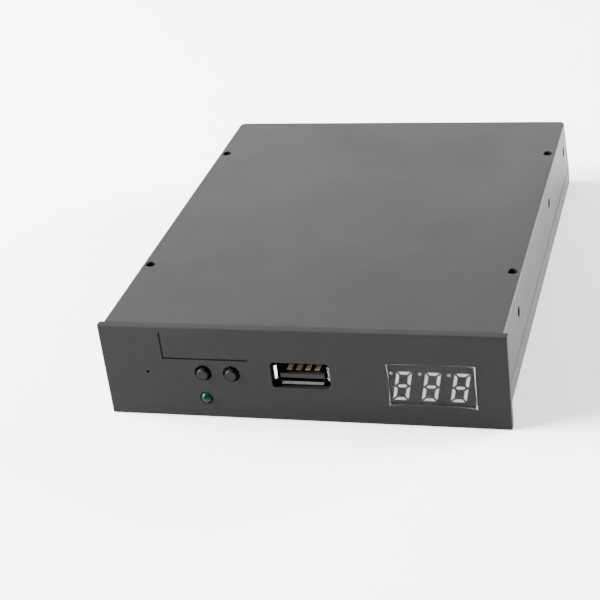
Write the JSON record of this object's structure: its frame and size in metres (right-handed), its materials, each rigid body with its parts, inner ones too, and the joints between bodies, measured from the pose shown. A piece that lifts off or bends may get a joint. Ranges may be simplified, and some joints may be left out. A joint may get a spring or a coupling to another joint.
{
  "type": "floppy drive emulator",
  "caption": "Drive-bay case with a USB port, two press buttons, a lamp and a digit display in front, and a connector bay with pin headers and jumpers at the rear.",
  "frame": {"origin": "middle of the floor of the whole drive's box: z = 0 is the bezel's lower edge", "axes": "+X to the right seen from the front, +Y from the bezel to the connectors, +Z towards the face with the screw holes"},
  "size_m": [0.1016, 0.1282, 0.0254],
  "materials": {
    "case_plastic": "satin moulded",
    "bezel_plastic": "satin moulded",
    "board_laminate": "green solder mask on glass-epoxy laminate",
    "black_plastic": "satin moulded",
    "button_plastic": "satin moulded",
    "chip_plastic": "matt moulded",
    "ceramic_chip": "fired ceramic with plated ends",
    "plated_pins": "tin and thin gold plating",
    "spring_metal": "bare spring bronze",
    "plated_steel": "bright plated sheet steel",
    "can_aluminium": "satin",
    "usb_plastic": "satin moulded",
    "display_face": "matt painted face",
    "display_light": "milky cast resin",
    "clear_film": "clear gloss",
    "lamp_plastic": "clear tinted resin"
  },
  "bodies": {
    "drive": {"board_screws": "plated_steel", "buffer_chips": "chip_plastic", "buffer_leads": "plated_pins", "capacitor_bases": "black_plastic", "capacitor_cans": "can_aluminium", "case_screw": "plated_steel", "chip_capacitors": "ceramic_chip", "chip_resistors": "chip_plastic", "circuit_board": "board_laminate", "crystal": "plated_steel", "data_header_base": "black_plastic", "data_header_pins_inner": "plated_pins", "data_header_pins_outer": "plated_pins", "display_film": "clear_film", "display_housing": "display_face", "display_pins": "plated_pins", "display_points": "display_light", "display_segments": "display_light", "front_bezel": "bezel_plastic", "jumper_header_base": "black_plastic", "jumper_header_pins": "plated_pins", "lamp_holder": "black_plastic", "lamp_leads": "plated_pins", "lamp_lens": "lamp_plastic", "left_switch_bracket": "plated_steel", "left_switch_dome": "spring_metal", "left_switch_housing": "black_plastic", "lower_cover": "case_plastic", "microcontroller": "chip_plastic", "microcontroller_leads": "plated_pins", "power_header_housing": "black_plastic", "power_header_pins": "plated_pins", "right_switch_bracket": "plated_steel", "right_switch_dome": "spring_metal", "right_switch_housing": "black_plastic", "switch_terminals": "plated_pins", "upper_case": "case_plastic", "usb_contacts": "plated_pins", "usb_shell": "plated_steel", "usb_tongue": "usb_plastic"},
    "left_button_stem": {"left_button": "button_plastic"},
    "right_button_stem": {"right_button": "button_plastic"},
    "end_jumper": {"jumper_cap_end": "black_plastic", "jumper_clip_end": "spring_metal"},
    "middle_jumper": {"jumper_cap_middle": "black_plastic", "jumper_clip_middle": "spring_metal"}
  },
  "joints": [
    {"name": "left_button_press", "type": "slide", "parent": "drive", "child": "left_button_stem", "axis": [0, 1, 0], "range_m": [0, 0.00025], "stiffness_N_per_m": 6000},
    {"name": "right_button_press", "type": "slide", "parent": "drive", "child": "right_button_stem", "axis": [0, 1, 0], "range_m": [0, 0.00025], "stiffness_N_per_m": 6000},
    {"name": "end_jumper_pull", "type": "slide", "parent": "drive", "child": "end_jumper", "axis": [0, 0, -1], "range_m": [0, 0.006]},
    {"name": "middle_jumper_pull", "type": "slide", "parent": "drive", "child": "middle_jumper", "axis": [0, 0, -1], "range_m": [0, 0.006]}
  ]
}
